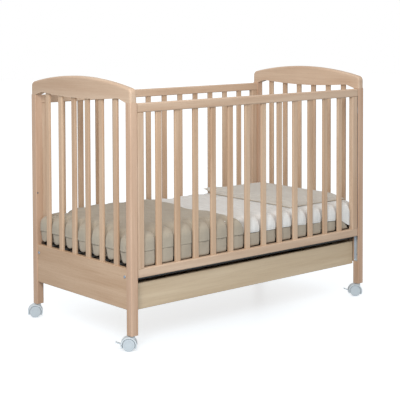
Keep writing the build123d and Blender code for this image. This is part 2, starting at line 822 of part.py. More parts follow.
# ---------------------------------------------------------------- bedding
with BuildPart() as mattress:
    with BuildSketch(level(mattress_low)):
        RectangleRounded(2 * mattress_x, 2 * mattress_y, 2 * mattress_round)
    extrude(amount=mattress_t)
    rims = edges().filter_by(lambda e: abs(e.center().Z - mattress_low) < 0.01
                             or abs(e.center().Z - mattress_top) < 0.01)
    fillet(rims, mattress_round)
save(mattress, "mattress")


def cover_section(x, lay_t, hang_t):
    """Section, at x, of a cover on the mattress that hangs down each long side."""
    with BuildSketch(facing_x(x)) as section:
        with Locations((0, (hem_z + lay + lay_t) / 2)):
            RectangleRounded(2 * (hang_in + hang_t), lay + lay_t - hem_z, hang_t / 2.5)
        with Locations((0, (hem_z + lay) / 2)):
            Rectangle(2 * hang_in, lay - hem_z, mode=Mode.SUBTRACT)
    return section.sketch


duvet_foot_x = mattress_x + soft_clear
cover_end = bay_x - duvet_post_gap
duvet_section = cover_section(-cover_end, duvet_t, duvet_hang_t)
with BuildPart() as duvet:
    extrude(duvet_section, amount=duvet_edge_x + cover_end)
    with BuildSketch(facing_x(-duvet_foot_x - duvet_foot_t)):
        with Locations((0, (hem_z + lay + duvet_t) / 2)):
            Rectangle(2 * duvet_foot_half, lay + duvet_t - hem_z)
    extrude(amount=duvet_foot_t)
    with BuildSketch(facing_x(-duvet_foot_x)):
        with Locations((0, lay + duvet_t / 2)):
            Rectangle(2 * duvet_foot_half, duvet_t)
    extrude(amount=duvet_foot_x - cover_end)
save(duvet, "duvet")

sheet_section = cover_section(duvet_edge_x + soft_clear, sheet_t, sheet_hang_t)
with BuildPart() as top_sheet:
    extrude(sheet_section, amount=cover_end - duvet_edge_x - soft_clear)
save(top_sheet, "top_sheet")

with BuildPart() as pillow:
    pillow_x = board_in - pillow_end_gap - pillow_len / 2
    pillow_low = mattress_top + sheet_t + 2 * soft_clear
    with BuildSketch(level(pillow_low)):
        with Locations((pillow_x, pillow_shift)):
            RectangleRounded(pillow_len, 2 * pillow_half, 3 * pillow_round)
    extrude(amount=pillow_t)
    rims = edges().filter_by(lambda e: abs(e.center().Z - pillow_low) < 0.01
                             or abs(e.center().Z - pillow_low - pillow_t) < 0.01)
    fillet(rims, pillow_round)
save(pillow, "pillow")
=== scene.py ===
# %% [markdown]
# # A slatted beech crib
# The crib is a wooden cage on casters: four posts, two curved end rails, slats
# pegged into rails, a drawer under the base and a dressed mattress. All the
# hard pieces arrive with their true shapes, each in its place, in metres. The
# lesson here is what they are made of, and the four soft pieces on the bed.

import math

import bmesh
import bpy
import numpy as np
from mathutils import Matrix, Vector


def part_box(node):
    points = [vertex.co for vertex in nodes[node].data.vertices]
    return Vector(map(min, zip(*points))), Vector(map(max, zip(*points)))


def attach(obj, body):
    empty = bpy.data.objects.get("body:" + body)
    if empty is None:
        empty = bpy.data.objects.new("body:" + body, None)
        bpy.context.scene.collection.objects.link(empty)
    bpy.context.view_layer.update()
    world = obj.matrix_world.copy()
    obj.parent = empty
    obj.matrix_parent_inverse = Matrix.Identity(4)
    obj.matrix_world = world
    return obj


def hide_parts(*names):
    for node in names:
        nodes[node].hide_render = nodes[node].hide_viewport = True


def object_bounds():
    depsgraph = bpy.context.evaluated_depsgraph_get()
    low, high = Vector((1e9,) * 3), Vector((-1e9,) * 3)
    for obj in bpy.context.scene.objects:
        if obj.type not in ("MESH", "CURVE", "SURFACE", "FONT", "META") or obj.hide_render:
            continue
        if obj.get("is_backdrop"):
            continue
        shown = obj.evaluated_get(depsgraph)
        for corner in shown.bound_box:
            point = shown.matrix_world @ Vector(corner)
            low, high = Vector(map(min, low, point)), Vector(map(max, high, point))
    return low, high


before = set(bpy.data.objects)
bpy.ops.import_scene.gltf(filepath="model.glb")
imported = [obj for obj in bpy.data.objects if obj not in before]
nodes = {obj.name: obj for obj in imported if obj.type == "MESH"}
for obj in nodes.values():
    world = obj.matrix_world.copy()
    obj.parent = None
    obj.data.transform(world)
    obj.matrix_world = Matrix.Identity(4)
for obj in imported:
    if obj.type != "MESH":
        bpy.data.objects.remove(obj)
cad_box = [list(corner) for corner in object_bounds()]

# %% [markdown]
# ## A few tools for building finishes
# A finish is a small tree of nodes. Writing one by hand needs the same three
# moves each time: start a material, add a node with its settings, and connect.
# Colours are easier to judge as screen colours, so a helper turns them into the
# linear values that the shader wants. One more helper puts an object in the scene.

# %% Helpers for node trees
def screen(r, g, b):
    """A colour given as it looks on a screen, 0 to 255, as linear RGBA."""
    out = []
    for c in (r, g, b):
        c /= 255
        out.append(c / 12.92 if c <= 0.04045 else ((c + 0.055) / 1.055) ** 2.4)
    return (*out, 1.0)


def linked(name, data):
    """A new object in the scene, made from a mesh, curve, lamp or camera."""
    made = bpy.data.objects.new(name, data)
    bpy.context.scene.collection.objects.link(made)
    return made


def start_finish(name, **shader_values):
    """A new material, its node tree and its shader."""
    finish = bpy.data.materials.new(name)
    finish.use_nodes = True
    tree = finish.node_tree
    shader = tree.nodes["Principled BSDF"]
    for socket, value in shader_values.items():
        shader.inputs[socket.replace("_", " ")].default_value = value
    return finish, tree, shader


def node(tree, kind, *links, **values):
    """Add a node; links are (input, output socket), values go to properties or inputs."""
    made = tree.nodes.new(kind)
    for key, value in values.items():
        if hasattr(made, key):
            setattr(made, key, value)
        else:
            made.inputs[key.replace("_", " ")].default_value = value
    for where, source in links:
        tree.links.new(source, made.inputs[where])
    return made


def stretched(tree, source, scale):
    """Coordinates scaled by a different amount along each axis."""
    return node(tree, "ShaderNodeMapping", (0, source), Scale=scale).outputs[0]


def noise(tree, source, scale, detail, **values):
    """Noise at one scale, or at a different one along each axis."""
    if isinstance(scale, tuple):
        source, scale = stretched(tree, source, scale), 1.0
    return node(tree, "ShaderNodeTexNoise", (0, source), Scale=scale, Detail=detail, **values).outputs[0]


def bumps(tree, height, strength, distance, *under):
    """A surface raised by height, over another one if that is given."""
    made = node(tree, "ShaderNodeBump", ("Height", height), *under, Strength=strength, Distance=distance)
    return made.outputs[0]


def number(tree, operation, *inputs):
    """A maths node on sockets or plain numbers."""
    made = tree.nodes.new("ShaderNodeMath")
    made.operation = operation
    for i, value in enumerate(inputs):
        if isinstance(value, (int, float)):
            made.inputs[i].default_value = value
        else:
            tree.links.new(value, made.inputs[i])
    return made.outputs[0]


def between(tree, amount, first, second, how="MIX"):
    """Mix two colours, each a socket or a plain RGBA."""
    made = tree.nodes.new("ShaderNodeMix")
    made.data_type, made.blend_type = "RGBA", how
    for i, value in ((0, amount), (6, first), (7, second)):
        if isinstance(value, bpy.types.NodeSocket):
            tree.links.new(value, made.inputs[i])
        else:
            made.inputs[i].default_value = value
    return made.outputs[2]


# %% [markdown]
# ## Beech
# Beech is pale and pinkish, with a straight quiet grain: broad soft streaks
# along the board, hair-fine lines inside them, and tiny darker flecks a few
# millimetres long. Each slat is cut from another part of the plank, so its tone
# differs a little from its neighbour's. One builder makes all of it: it is told
# which way the grain runs and how far apart the pieces stand, and it gives each
# cell of that spacing its own tone and its own stretch of grain.

# %% Beech, for any direction of grain
AXES = "XYZ"


def make_beech(name, along, cells, light, dark, streaks):
    """Lacquered beech. along is the grain's axis; cells are the pieces' spacings."""
    finish, tree, shader = start_finish(name, Coat_Weight=0.12, Coat_Roughness=0.3, Specular_IOR_Level=0.4)
    place = node(tree, "ShaderNodeTexCoord").outputs["Object"]
    # which piece this is, as whole numbers
    per_cell = tuple(1 / c if c else 0.0 for c in cells)
    counted = stretched(tree, place, per_cell)
    cell = node(tree, "ShaderNodeVectorMath", (0, counted), operation="FLOOR").outputs[0]
    piece = node(tree, "ShaderNodeTexWhiteNoise", (0, cell), noise_dimensions="3D")
    tint = piece.outputs["Color"]
    shift = node(tree, "ShaderNodeVectorMath", (0, tint), operation="SCALE", Scale=3.0).outputs[0]
    there = node(tree, "ShaderNodeVectorMath", (0, place), (1, shift), operation="ADD").outputs[0]

    def grain(long, wide, detail, rough):
        scale = tuple(long if AXES[i] == along else wide for i in range(3))
        return noise(tree, there, scale, detail, Roughness=rough, Distortion=0.15)

    broad = grain(1.6, 26.0, 2.0, 0.5)
    fine = grain(7.0, 240.0, 4.0, 0.65)
    fleck = grain(70.0, 700.0, 1.0, 0.5)
    mixed = number(tree, "ADD", number(tree, "MULTIPLY", broad, 0.75), number(tree, "MULTIPLY", fine, 0.45))
    spread = node(tree, "ShaderNodeMapRange", (0, mixed), From_Min=0.42, From_Max=0.8).outputs[0]
    wood = between(tree, spread, screen(*light), screen(*dark))
    darkest = 0.16 * streaks
    flecks = node(tree, "ShaderNodeMapRange", (0, fleck), From_Min=0.60, From_Max=0.72, To_Max=darkest)
    wood = between(tree, flecks.outputs[0], wood, (0.30, 0.17, 0.09, 1))
    chance = piece.outputs["Value"]
    tone = node(tree, "ShaderNodeMapRange", (0, chance), To_Min=0.955, To_Max=1.045).outputs[0]
    wood = node(tree, "ShaderNodeVectorMath", (0, wood), (3, tone), operation="SCALE").outputs[0]
    tree.links.new(wood, shader.inputs["Base Color"])
    gloss = node(tree, "ShaderNodeMapRange", (0, fine), To_Min=0.36, To_Max=0.52).outputs[0]
    tree.links.new(gloss, shader.inputs["Roughness"])
    tree.links.new(bumps(tree, fine, 0.12, 0.0004), shader.inputs["Normal"])
    return finish


side_lo, side_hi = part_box("drop_side_slats")
slat_w = 0.025
side_count, end_count = 12, 6
side_pitch = (side_hi.x - side_lo.x - slat_w) / (side_count - 1)
end_lo, end_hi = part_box("end_slats_left")
end_pitch = (end_hi.y - end_lo.y - slat_w) / (end_count - 1)
print("slats stand", round(side_pitch, 4), "and", round(end_pitch, 4), "m apart")

# %% [markdown]
# ## Which beech goes where
# Posts and slats have their grain upright, rails along their length, and the
# end boards and curved end rails across the bed. The posts are a little pinker
# than the slats, and the rails a little paler, as boards from different planks
# are. The drawer's front is a plainer, yellower veneer with fainter flecks. Its
# tones, which the drawer's sides share, are also made lighter: painted light for
# the bounce from the floor that the low drawer catches.

# %% Beech finishes
slat_tones = (215, 187, 159), (191, 157, 127)
rail_tones = (217, 191, 166), (195, 164, 137)
post_tones = (213, 181, 155), (190, 153, 125)
board_tones = (209, 179, 150), (188, 154, 123)
# lighter than the veneer alone: painted light for the floor's bounce on the low drawer
drawer_tones_with_painted_bounce = (217, 197, 168), (199, 176, 145)
stile_tones = rail_tones[0], slat_tones[1]
beeches = {
    name: make_beech(name, along, cells, *tones, streaks)
    for name, along, cells, tones, streaks in (
        ("beech posts", "Z", (1.0, 0.6, 0), post_tones, 1.0),
        ("beech side slats", "Z", (side_pitch, 0.4, 0), slat_tones, 1.6),
        ("beech end slats", "Z", (1.0, end_pitch, 0), slat_tones, 1.6),
        ("beech stiles", "Z", (1.0, 0.6, 0), stile_tones, 1.0),
        ("beech rails", "X", (0, 0.4, 0.4), rail_tones, 1.0),
        ("beech end rails", "Y", (1.0, 0, 0), rail_tones, 0.8),
        ("beech end boards", "Y", (1.0, 0, 0), board_tones, 1.4),
        ("unlacquered beech", "Y", (0.112, 0, 0), board_tones, 1.0),
        ("drawer veneer", "X", (0, 0.3, 0), drawer_tones_with_painted_bounce, 0.5),
        ("drawer veneer sides", "Y", (0.3, 0, 0), drawer_tones_with_painted_bounce, 0.5),
    )
}
print(len(beeches), "beech finishes")

# %% [markdown]
# ## Hardboard, metals and plastics
# The drawer's bottom is thin brown hardboard with a pebbled face. The side
# guides are satin aluminium, drawn lengthwise, so their scratches run upright.
# The bolts and screws are bright zinc with a faint blue cast. The base frame is
# steel under a glossy black coat, never perfectly smooth. The casters are pale
# grey plastic: smooth hoods, and wheels that are duller and a little scuffed.

# %% Hardboard
hardboard, tree, shader = start_finish("hardboard", Roughness=0.7)
place = node(tree, "ShaderNodeTexCoord").outputs["Object"]
pebble = noise(tree, place, 260.0, 4.0)
patch = noise(tree, place, 9.0, 2.0)
brown = between(tree, patch, screen(176, 140, 104), screen(160, 123, 88))
speckled = between(tree, number(tree, "MULTIPLY", pebble, 0.4), brown, screen(132, 98, 68))
tree.links.new(speckled, shader.inputs["Base Color"])
tree.links.new(bumps(tree, pebble, 0.3, 0.0004), shader.inputs["Normal"])
print("hardboard made")


# %% A builder for metals and plastics
def make_smooth(name, light, dark, metal, rough, scratch, cloud=30.0, lump=0.0, coat=0.0):
    """Metal, paint or plastic; scratch is how its fine marks are stretched."""
    finish, tree, shader = start_finish(name, Metallic=metal, Coat_Weight=coat, Coat_Roughness=0.08)
    place = node(tree, "ShaderNodeTexCoord").outputs["Object"]
    marks = noise(tree, place, scratch, 3.0)
    clouds = noise(tree, place, cloud, 2.0)
    tree.links.new(between(tree, clouds, screen(*light), screen(*dark)), shader.inputs["Base Color"])
    gloss = number(tree, "MULTIPLY_ADD", marks, 0.5 * rough, 0.75 * rough)
    tree.links.new(gloss, shader.inputs["Roughness"])
    height = number(tree, "ADD", number(tree, "MULTIPLY", marks, 0.3), number(tree, "MULTIPLY", clouds, lump))
    tree.links.new(bumps(tree, height, 0.25, 0.0003), shader.inputs["Normal"])
    return finish


guide_metal = make_smooth("guide aluminium", (226, 230, 234), (206, 211, 216), 0.85, 0.38, (900, 900, 20))
zinc = make_smooth("bright zinc", (196, 208, 222), (168, 182, 200), 0.9, 0.3, (500, 500, 500))
dull_zinc = make_smooth("dull zinc", (112, 126, 140), (92, 105, 118), 0.6, 0.45, (500, 500, 500))
black_enamel = make_smooth("black enamel", (22, 22, 24), (14, 14, 16), 0.0, 0.22, (30, 30, 30),
                           cloud=25.0, lump=0.6, coat=0.5)
black_nylon = make_smooth("black nylon", (30, 30, 31), (20, 20, 21), 0.0, 0.5, (400, 400, 400))
hood_plastic = make_smooth("caster plastic", (218, 225, 229), (210, 218, 223), 0.0, 0.32, (300, 300, 300))
wheel_plastic = make_smooth("wheel plastic", (208, 216, 221), (196, 206, 212), 0.0, 0.46, (600, 600, 600),
                            cloud=90.0)
pin_steel = make_smooth("pin steel", (176, 178, 182), (150, 152, 156), 0.95, 0.3, (600, 600, 600))
print("metals and plastics made")

# %% [markdown]
# ## Dressing the hard pieces
# Every hard piece keeps its own mesh, and only the slots get a finish. A short
# table pairs the start of a piece's name with the finish, and the first match
# wins, so the special cases stand above the general ones.

# %% Give each hard piece its finish
wearing = [
    ("post_", beeches["beech posts"]),
    ("end_rail", beeches["beech end rails"]),
    ("end_board", beeches["beech end boards"]),
    ("end_slats", beeches["beech end slats"]),
    (("drop_side_slats", "rear_side_slats"), beeches["beech side slats"]),
    (("drop_side_stile", "rear_side_stile"), beeches["beech stiles"]),
    (("drop_side_runners", "caster_sockets"), hood_plastic),
    (("drop_side", "rear_side"), beeches["beech rails"]),
    (("guide_track", "drawer_track"), guide_metal),
    (("track_screws", "base_bolts"), zinc),
    ("height_inserts", dull_zinc),
    ("base_frame", black_enamel),
    ("deck_slat_caps", black_nylon),
    (("deck_slats", "dowels"), beeches["unlacquered beech"]),
    ("drawer_bottom", hardboard),
    (("drawer_side", "drawer_runner"), beeches["drawer veneer sides"]),
    ("drawer_", beeches["drawer veneer"]),
]
soft_nodes = ("mattress", "duvet", "top_sheet", "pillow")
for name, piece in nodes.items():
    if name in soft_nodes:
        continue
    if name.endswith("_wheels"):
        finish = wheel_plastic
    elif name.endswith("_pins"):
        finish = pin_steel
    elif name.startswith("caster_") and name != "caster_sockets":
        finish = hood_plastic
    else:
        finish = next(f for start, f in wearing if name.startswith(start))
    for slot in range(max(1, len(piece.data.materials))):
        if len(piece.data.materials) == 0:
            piece.data.materials.append(finish)
        else:
            piece.material_slots[slot].material = finish
print("finishes given to", len(nodes) - len(soft_nodes), "pieces")

# %% [markdown]
# ## Cloth finishes
# All four covers are plain woven cotton. Close up the threads make a tiny grid
# of bumps, here a sum of three sine waves so that it reads as weave on any
# side of the bed. Slubs, the thicker threads, give faint streaks, and washing
# leaves soft crumples a few centimetres long. Sheen lifts the edges slightly.

# %% A builder for woven cotton
def make_cotton(name, light, dark, thread=0.0011, crumple=0.5, sheen=0.15):
    finish, tree, shader = start_finish(name, Roughness=0.92, Specular_IOR_Level=0.2,
                                        Sheen_Weight=sheen, Sheen_Roughness=0.5)
    place = node(tree, "ShaderNodeTexCoord").outputs["Object"]
    split = node(tree, "ShaderNodeSeparateXYZ", (0, place))
    turns = 2 * math.pi / thread
    waves = [number(tree, "SINE", number(tree, "MULTIPLY", split.outputs[i], turns)) for i in range(3)]
    weave = number(tree, "ADD", number(tree, "ADD", waves[0], waves[1]), waves[2])
    slub_x = noise(tree, place, (20, 500, 500), 2.0)
    slub_y = noise(tree, place, (500, 20, 60), 2.0)
    wash = noise(tree, place, 11.0, 3.0)
    folds = noise(tree, place, (42, 42, 30), 3.0, Roughness=0.55)
    faded = number(tree, "MULTIPLY", wash, 0.45)
    blend = number(tree, "MULTIPLY_ADD", number(tree, "ADD", slub_x, slub_y), 0.35, faded)
    shade = node(tree, "ShaderNodeMapRange", (0, blend), From_Min=0.4, From_Max=0.75).outputs[0]
    tree.links.new(between(tree, shade, screen(*light), screen(*dark)), shader.inputs["Base Color"])
    soft = bumps(tree, folds, crumple, 0.004)
    raised = number(tree, "MULTIPLY_ADD", weave, 0.2, slub_x)
    tree.links.new(bumps(tree, raised, 0.35, 0.0003, ("Normal", soft)), shader.inputs["Normal"])
    return finish


taupe_cotton = make_cotton("taupe duvet cotton", (178, 168, 151), (168, 157, 140), crumple=0.55)
fitted_cotton = make_cotton("taupe fitted cotton", (178, 167, 150), (168, 156, 139), crumple=0.35)
white_cotton = make_cotton("white sheet cotton", (230, 229, 226), (220, 218, 214), crumple=0.6)
pillow_cotton = make_cotton("pillow cotton", (211, 207, 199), (203, 198, 189), crumple=0.35)
piping_cotton = make_cotton("tan piping", (214, 202, 182), (204, 190, 168), 0.0007, 0.1)
thread_cotton = make_cotton("pale thread", (206, 198, 184), (196, 187, 172), 0.0005, 0.0)
print("cottons made")

# %% [markdown]
# ## How the bedding meets the slats
# The mattress fills the cage, so its cover and everything hung over it swells
# into the gaps between the slats and is held back behind each slat. One rule
# describes that for all the pieces: along a side, a point is either behind a
# bar, where the cloth sits back, or in a bay, where it bows out like a finger.
# Reading the bars from the crib itself keeps the cloth clear of the wood.

# %% The swell between the bars
half_slat = slat_w / 2
side_bars = [side_lo.x + half_slat + k * side_pitch for k in range(side_count)]
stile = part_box("drop_side_stile_left")
stile_half = (stile[1].x - stile[0].x) / 2
stile_at = abs(stile[0].x + stile[1].x) / 2
end_bars = [end_lo.y + half_slat + k * end_pitch for k in range(end_count)]
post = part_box("post_front_left")
post_half = (post[1].y - post[0].y) / 2
post_face = abs(post[1].y)
side_flank, end_flank = 0.007, 0.012


def bow(along, bars, thick_bars, edge, flank):
    """0 behind a bar, up a steep flank beside it, and 1 in the middle of a bay."""
    along = np.asarray(along, float)
    out = np.ones_like(along)
    half_bay = side_pitch / 2 - half_slat
    # the share of the full swell that the steep flank reaches
    shoulder = 0.88
    for at, half in [(b, half_slat) for b in bars] + thick_bars:
        clear = np.abs(along - at) - half
        near = np.clip(clear / flank, 0, 1)
        across = np.clip(clear / half_bay, 0, 1)
        crown = shoulder + (1 - shoulder) * across * (2 - across)
        out = np.minimum(out, np.sqrt(near * (2 - near)) * crown)
    return np.where(np.abs(along) > edge, 0, out)


def bow_side(x, flank=side_flank):
    """Swell along the front and the back of the bed."""
    return bow(x, side_bars, [(stile_at, stile_half), (-stile_at, stile_half)], stile_at, flank)


def bow_end(y, flank=end_flank):
    """Swell along the foot and the head of the bed."""
    middle = post_face + post_half
    return bow(y, end_bars, [(middle, post_half), (-middle, post_half)], post_face + 0.0005, flank)


print("bars at", [round(b, 3) for b in side_bars[:3]], "... and", [round(b, 3) for b in end_bars[:3]], "...")


# %% [markdown]
# ## Soft noise and smooth steps
# Cloth is never even. The wrinkles here are lattice noise: random heights on a
# grid, joined by smooth curves, with a fixed seed so that every run gives the
# same bed. Stretching the grid makes long folds or short crumples.

# %% Noise and easing
def ease(value, low, high):
    """0 below low, 1 above high, smooth in between."""
    t = np.clip((value - low) / (high - low), 0, 1)
    return t * t * (3 - 2 * t)


def ripple(u, v, seed, octaves=2):
    """Smooth noise from about -1 to 1."""
    table = np.random.default_rng(seed).uniform(-1, 1, (64, 64))
    u, v = np.broadcast_arrays(np.asarray(u, float), np.asarray(v, float))
    total, size = 0, 1.0
    for k in range(octaves):
        a, b = u * 2**k + 7.3 * k, v * 2**k + 3.1 * k
        i, j = np.floor(a).astype(int), np.floor(b).astype(int)
        s, t = ease(a - i, 0, 1), ease(b - j, 0, 1)
        low = table[i % 64, j % 64] * (1 - s) + table[(i + 1) % 64, j % 64] * s
        high = table[i % 64, (j + 1) % 64] * (1 - s) + table[(i + 1) % 64, (j + 1) % 64] * s
        total, size = total + size * (low * (1 - t) + high * t), size * 0.5
    return total


print("ripples from", round(float(ripple(np.arange(99) / 9, 0.5, 3).min()), 2), "up")

# %% [markdown]
# ## The shape of a cover
# A cover lies flat on the mattress, rolls over its edge and hangs down the
# side. Seen from above it is a letter U: along one side, round the end of the
# bed and back. The same U, drawn smaller and smaller, fills the top. So a cover
# is a grid: one direction runs along the U, the other from the middle of the
# bed to the hem. Each grid point also knows which way is out, which is where
# thickness, swell and wrinkles are added.

# %% The grid of a cover
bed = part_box("mattress")
bed_x, bed_y, bed_top, bed_low = bed[1].x, bed[1].y, bed[1].z, bed[0].z
bed_crown = bed_top + 0.003


def around_end(inset, half_x, half_y, corner, edge_x, along, across, turn):
    """One U in plan, pulled in by inset: points and outward directions."""
    r = corner * (1 - inset / half_y)
    hx, hy = half_x - inset, half_y - inset
    angle = np.linspace(0, math.pi / 2, turn)[1:-1]
    side = np.linspace(edge_x, hx - r, along)
    xs = np.concatenate([side, hx - r + r * np.sin(angle), np.full(across, hx),
                         hx - r + r * np.cos(angle), side[::-1]])
    ys = np.concatenate([np.full(along, -hy), -hy + r - r * np.cos(angle),
                         np.linspace(-hy + r, hy - r, across),
                         hy - r + r * np.sin(angle), np.full(along, hy)])
    nx = np.concatenate([np.zeros(along), np.sin(angle), np.ones(across), np.cos(angle), np.zeros(along)])
    ny = np.concatenate([-np.ones(along), -np.cos(angle), np.zeros(across), np.sin(angle), np.ones(along)])
    return xs, ys, nx, ny


def cover_grid(end, half_x, half_y, corner, top, hem, roll, edge, along, flat_rows):
    """Places, outward directions, tilt and run down the cloth. end is -1 at the foot, 1 at the head."""
    across, turn = 150, 12
    rows = []
    levels = [("top", d) for d in np.linspace(half_y, roll, flat_rows)]
    levels += [("roll", a) for a in np.linspace(0, math.pi / 2, 9)[1:]]
    levels += [("hang", f) for f in np.linspace(0, 1, 19)[1:]]
    for kind, value in levels:
        inset, drop, tilt, fall = 0.0, 0.0, 0.0, 0.0
        if kind == "top":
            inset, tilt, fall = value, math.pi / 2, roll - value
        elif kind == "roll":
            inset, drop = roll * (1 - math.sin(value)), roll * (1 - math.cos(value))
            tilt, fall = math.pi / 2 - value, roll * value
        ends = edge(np.array([-(half_y - inset), half_y - inset]), top - drop)
        xs, ys, nx, ny = around_end(inset, half_x, half_y, corner, 0.0, along, across, turn)
        bottom = hem(xs * end, ys)
        z = np.full_like(xs, top - drop)
        if kind == "hang":
            z = (top - roll) * (1 - value) + bottom * value
            fall = roll * math.pi / 2 + top - roll - z
            ends = edge(np.array([-half_y, half_y]), z[[0, -1]])
        # slide the two straight runs so that they stop at the turned edge
        start = np.where(ys < 0, ends[0], ends[1]) * end
        run_end = half_x - corner - inset * (1 - corner / half_y)
        share = np.clip(xs / max(1e-6, run_end), 0, 1)
        at = np.arange(len(xs))
        xs = np.where((at < along) | (at >= len(xs) - along), start + share * (run_end - start), xs)
        out = np.stack([nx * end * math.cos(tilt), ny * math.cos(tilt), np.full_like(nx, math.sin(tilt))], -1)
        rows.append((np.stack([xs * end, ys, z], -1), out, np.full_like(z, tilt), np.zeros_like(z) + fall))
    return [np.array(part) for part in zip(*rows)]


# %% [markdown]
# ## From grids to a closed quilt
# A quilt is two such grids, an outer and an inner one, that meet at the hem
# and at the turned edge. Joining them there leaves no open border, so the piece
# has a real inside and outside. Along the middle of the bed the two halves of
# the grid touch, and merging the points there closes the seam.

# %% Build a closed piece from two grids
def squares(index):
    """One face for each square of a grid of point numbers."""
    return np.stack([index[:-1, :-1], index[:-1, 1:], index[1:, 1:], index[1:, :-1]], -1).reshape(-1, 4)


def closed_piece(name, outer, inner, finish):
    """A closed mesh from two matching grids of points."""
    rows, cols = outer.shape[:2]
    count = rows * cols
    index = np.arange(count).reshape(rows, cols)
    skin = squares(index)
    lining = skin[:, ::-1] + count
    hem = np.stack([index[-1, :-1], index[-1, 1:], index[-1, 1:] + count, index[-1, :-1] + count], -1)
    left = np.stack([index[:-1, 0], index[1:, 0], index[1:, 0] + count, index[:-1, 0] + count], -1)
    right = np.stack([index[1:, -1], index[:-1, -1], index[:-1, -1] + count, index[1:, -1] + count], -1)
    faces = np.concatenate([skin, lining, hem, left, right])[:, ::-1]
    return finish_piece(name, np.concatenate([outer, inner]), faces, finish)


def finish_piece(name, corners, faces, finish, merge=0.00005):
    """A smooth piece from points and faces, touching points merged, faces turned outwards."""
    mesh = bpy.data.meshes.new(name)
    mesh.from_pydata(corners.reshape(-1, 3).tolist(), [], faces.tolist())
    work = bmesh.new()
    work.from_mesh(mesh)
    bmesh.ops.remove_doubles(work, verts=work.verts, dist=merge)
    bmesh.ops.dissolve_degenerate(work, edges=work.edges, dist=merge / 2)
    bmesh.ops.recalc_face_normals(work, faces=work.faces)
    work.to_mesh(mesh)
    work.free()
    mesh.shade_smooth()
    piece = linked(name, mesh)
    mesh.materials.append(finish)
    print(name, len(mesh.polygons), "faces")
    return piece


# %% [markdown]
# ## The duvet
# The duvet is a thin quilt over the foot half of the bed. It is plump on top,
# rolls softly over the mattress edge and hangs down its sides to a level hem.
# Its turned edge crosses the bed in a loose S. The filling thins to nothing at
# every edge, which gives the rounded lip that a sewn quilt has.

# %% Duvet sizes and its turned edge
duvet_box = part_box("duvet")
hem_z = duvet_box[0].z
duvet_top = duvet_box[1].z + 0.001
duvet_x, duvet_y = -duvet_box[0].x, duvet_box[1].y
duvet_roll = 0.042
duvet_side, duvet_end = (0.0170, 0.0168), (0.0170, 0.0152)
sheet_side, sheet_end = (0.0095, 0.0150), (0.0080, 0.0100)

edge_y = np.array([-0.32, -0.26, -0.22, -0.18, -0.13, -0.09, -0.06, -0.02, 0.02, 0.09, 0.17, 0.24, 0.32])
edge_x = np.array([-0.095, -0.099, -0.091, -0.083, -0.076, -0.094, -0.110, -0.113, -0.102, -0.080, -0.078,
                   -0.060, -0.030])
fine_y = np.linspace(-0.32, 0.32, 129)
blur = np.hanning(11)[1:-1] / np.hanning(11).sum()
soft_x = np.convolve(np.pad(np.interp(fine_y, edge_y, edge_x), 4, "edge"), blur, "valid")


def duvet_edge(y, z):
    """Where the turned edge crosses the bed, and how it sweeps down the sides."""
    return np.interp(y, fine_y, soft_x) + 0.032 * ease(duvet_top - z, 0.004, 0.058)


def swelled(points, out, tilt, fall, side, end):
    """Move out in the bays and in behind the bars. side and end are (recess, swell)."""
    x, y = points[..., 0], points[..., 1]
    share = (np.abs(out[..., 0]) / np.maximum(np.cos(tilt), 1e-20)) ** 2
    # blunt fingers down the side, soft waves where they start on the top
    softer = 0.022 * (1 - ease(fall, -0.020, 0.058))
    across, along = bow_side(x, side_flank + softer), bow_end(y, end_flank + softer)
    side_in = ease(fall, -0.024, 0.040)
    end_in = ease(fall, -0.045 + 0.030 * ease(y, -0.10, 0.20), 0.040)
    push_side = side[1] * across * ease(fall, 0.004, 0.062) - side[0] * (1 - across) * side_in
    push_end = end[1] * along * ease(fall, 0.004, 0.082) - end[0] * (1 - along) * end_in
    return push_side * (1 - share) + push_end * share


def level_hem(x, y):
    return np.full_like(np.asarray(x, float), hem_z)


# %% [markdown]
# ## Filling the duvet
# The filling is thickest in the middle and thins towards the turned edge and
# the two foot corners. Stitched channels run across the bed, so the top dips a
# little along each of them. Where a slat presses, a groove starts on the top,
# two or three fingers from the edge, and deepens as it goes down.

# %% Shape the duvet
lip_round, hem_round, channel_step = 0.014, 0.006, 0.042
# the least distance between the two skins
least = 0.0002
points, out, tilt, fall = cover_grid(-1, duvet_x, duvet_y, 0.014, duvet_top, level_hem, duvet_roll,
                                     duvet_edge, along=200, flat_rows=40)
x, y, z = points[..., 0], points[..., 1], points[..., 2]
run = np.where(np.abs(out[..., 1]) > np.abs(out[..., 0]), x, y)
on_top = np.sin(tilt) ** 2
to_edge = np.abs(x - duvet_edge(y, z))
plump = 0.0060 * ease(duvet_y - np.abs(y), 0.0, 0.08) * ease(duvet_x + x, 0.0, 0.18)
plump -= 0.0080 * (1 - ease(to_edge, 0.0, 0.24))
plump -= 0.0200 * ease(-x, 0.37, 0.60) * ease(np.abs(y), 0.12, 0.29) + 0.0020 * ease(-x, 0.52, 0.60)
channel = np.abs(np.mod((x + 0.004 * ripple(y / 0.2, 0.3, 9, 1)) / channel_step, 1.0) - 0.5) * 2
billow = 0.0022 * ripple(x / 0.13, y / 0.10, 5) + 0.0009 * ripple(x / 0.034, y / 0.040, 6)
billow -= 0.0011 * channel**6
hang = 0.0012 * ripple(run / 0.030, z / 0.09, 7) + 0.0005 * ripple(run / 0.010, z / 0.03, 8)
lip = np.sqrt(np.clip(1 - (1 - np.clip(to_edge / lip_round, 0, 1)) ** 2, 0, 1))
hem_lip = np.sqrt(np.clip(1 - (1 - np.clip((z - hem_z) / hem_round, 0, 1)) ** 2, 0, 1))
lift = on_top * (plump + billow) + (1 - on_top) * hang * lip
outer = points + out * (lift + swelled(points, out, tilt, fall, duvet_side, duvet_end))[..., None]
floor_z = bed_crown + 0.0006 + 0.0034 * ease(x, -0.20, -0.15)
thick = 0.0036 * (1 - on_top) * lip * hem_lip + least
inner = outer - out * (thick * (1 - on_top))[..., None]
inner[..., 2] = inner[..., 2] * (1 - on_top) + on_top * np.minimum(floor_z, outer[..., 2] - least)
